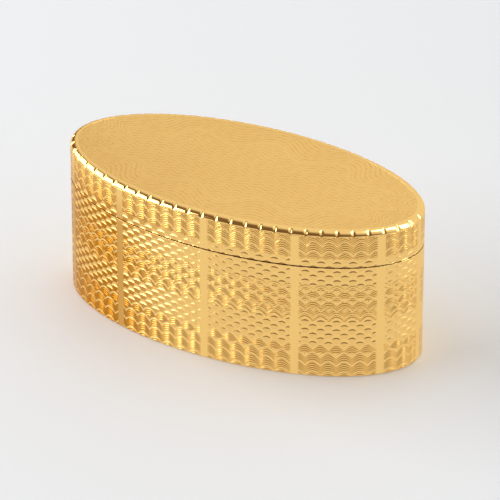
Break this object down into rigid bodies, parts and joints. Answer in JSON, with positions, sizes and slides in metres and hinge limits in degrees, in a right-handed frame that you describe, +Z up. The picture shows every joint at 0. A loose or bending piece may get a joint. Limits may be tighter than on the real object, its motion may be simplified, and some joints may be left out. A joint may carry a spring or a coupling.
{
  "type": "oval hinged box",
  "caption": "Oval engine-turned gold box with a hinged lid that opens on a concealed knuckle joint at the back, for snuff, sweets or small valuables.",
  "frame": {"origin": "centre of the closed box's footprint, on the surface that it stands on", "axes": "+X along the oval's long axis, +Y towards the hinge at the back, +Z up"},
  "size_m": [0.083, 0.041, 0.0353],
  "materials": {
    "engine_turned_gold": "engine-turned, bright cut",
    "polished_gold": "polished"
  },
  "bodies": {
    "base": {"base_wall": "engine_turned_gold", "base_plate": "polished_gold", "base_bezel": "polished_gold", "base_joint_bar": "polished_gold", "base_knuckle_1": "polished_gold", "base_knuckle_2": "polished_gold", "base_knuckle_3": "polished_gold", "base_knuckle_4": "polished_gold", "base_knuckle_5": "polished_gold", "hinge_pin": "polished_gold", "hinge_plug_left": "polished_gold", "hinge_plug_right": "polished_gold"},
    "lid": {"lid_wall": "engine_turned_gold", "lid_rim": "polished_gold", "lid_plate": "engine_turned_gold", "lid_joint_bar": "polished_gold", "lid_knuckle_1": "polished_gold", "lid_knuckle_2": "polished_gold", "lid_knuckle_3": "polished_gold", "lid_knuckle_4": "polished_gold"}
  },
  "joints": [
    {"name": "lid_hinge", "type": "hinge", "parent": "base", "child": "lid", "pos_m": [0, 0.0193, 0.0268], "axis": [-1, 0, 0], "range_deg": [0, 90]}
  ]
}
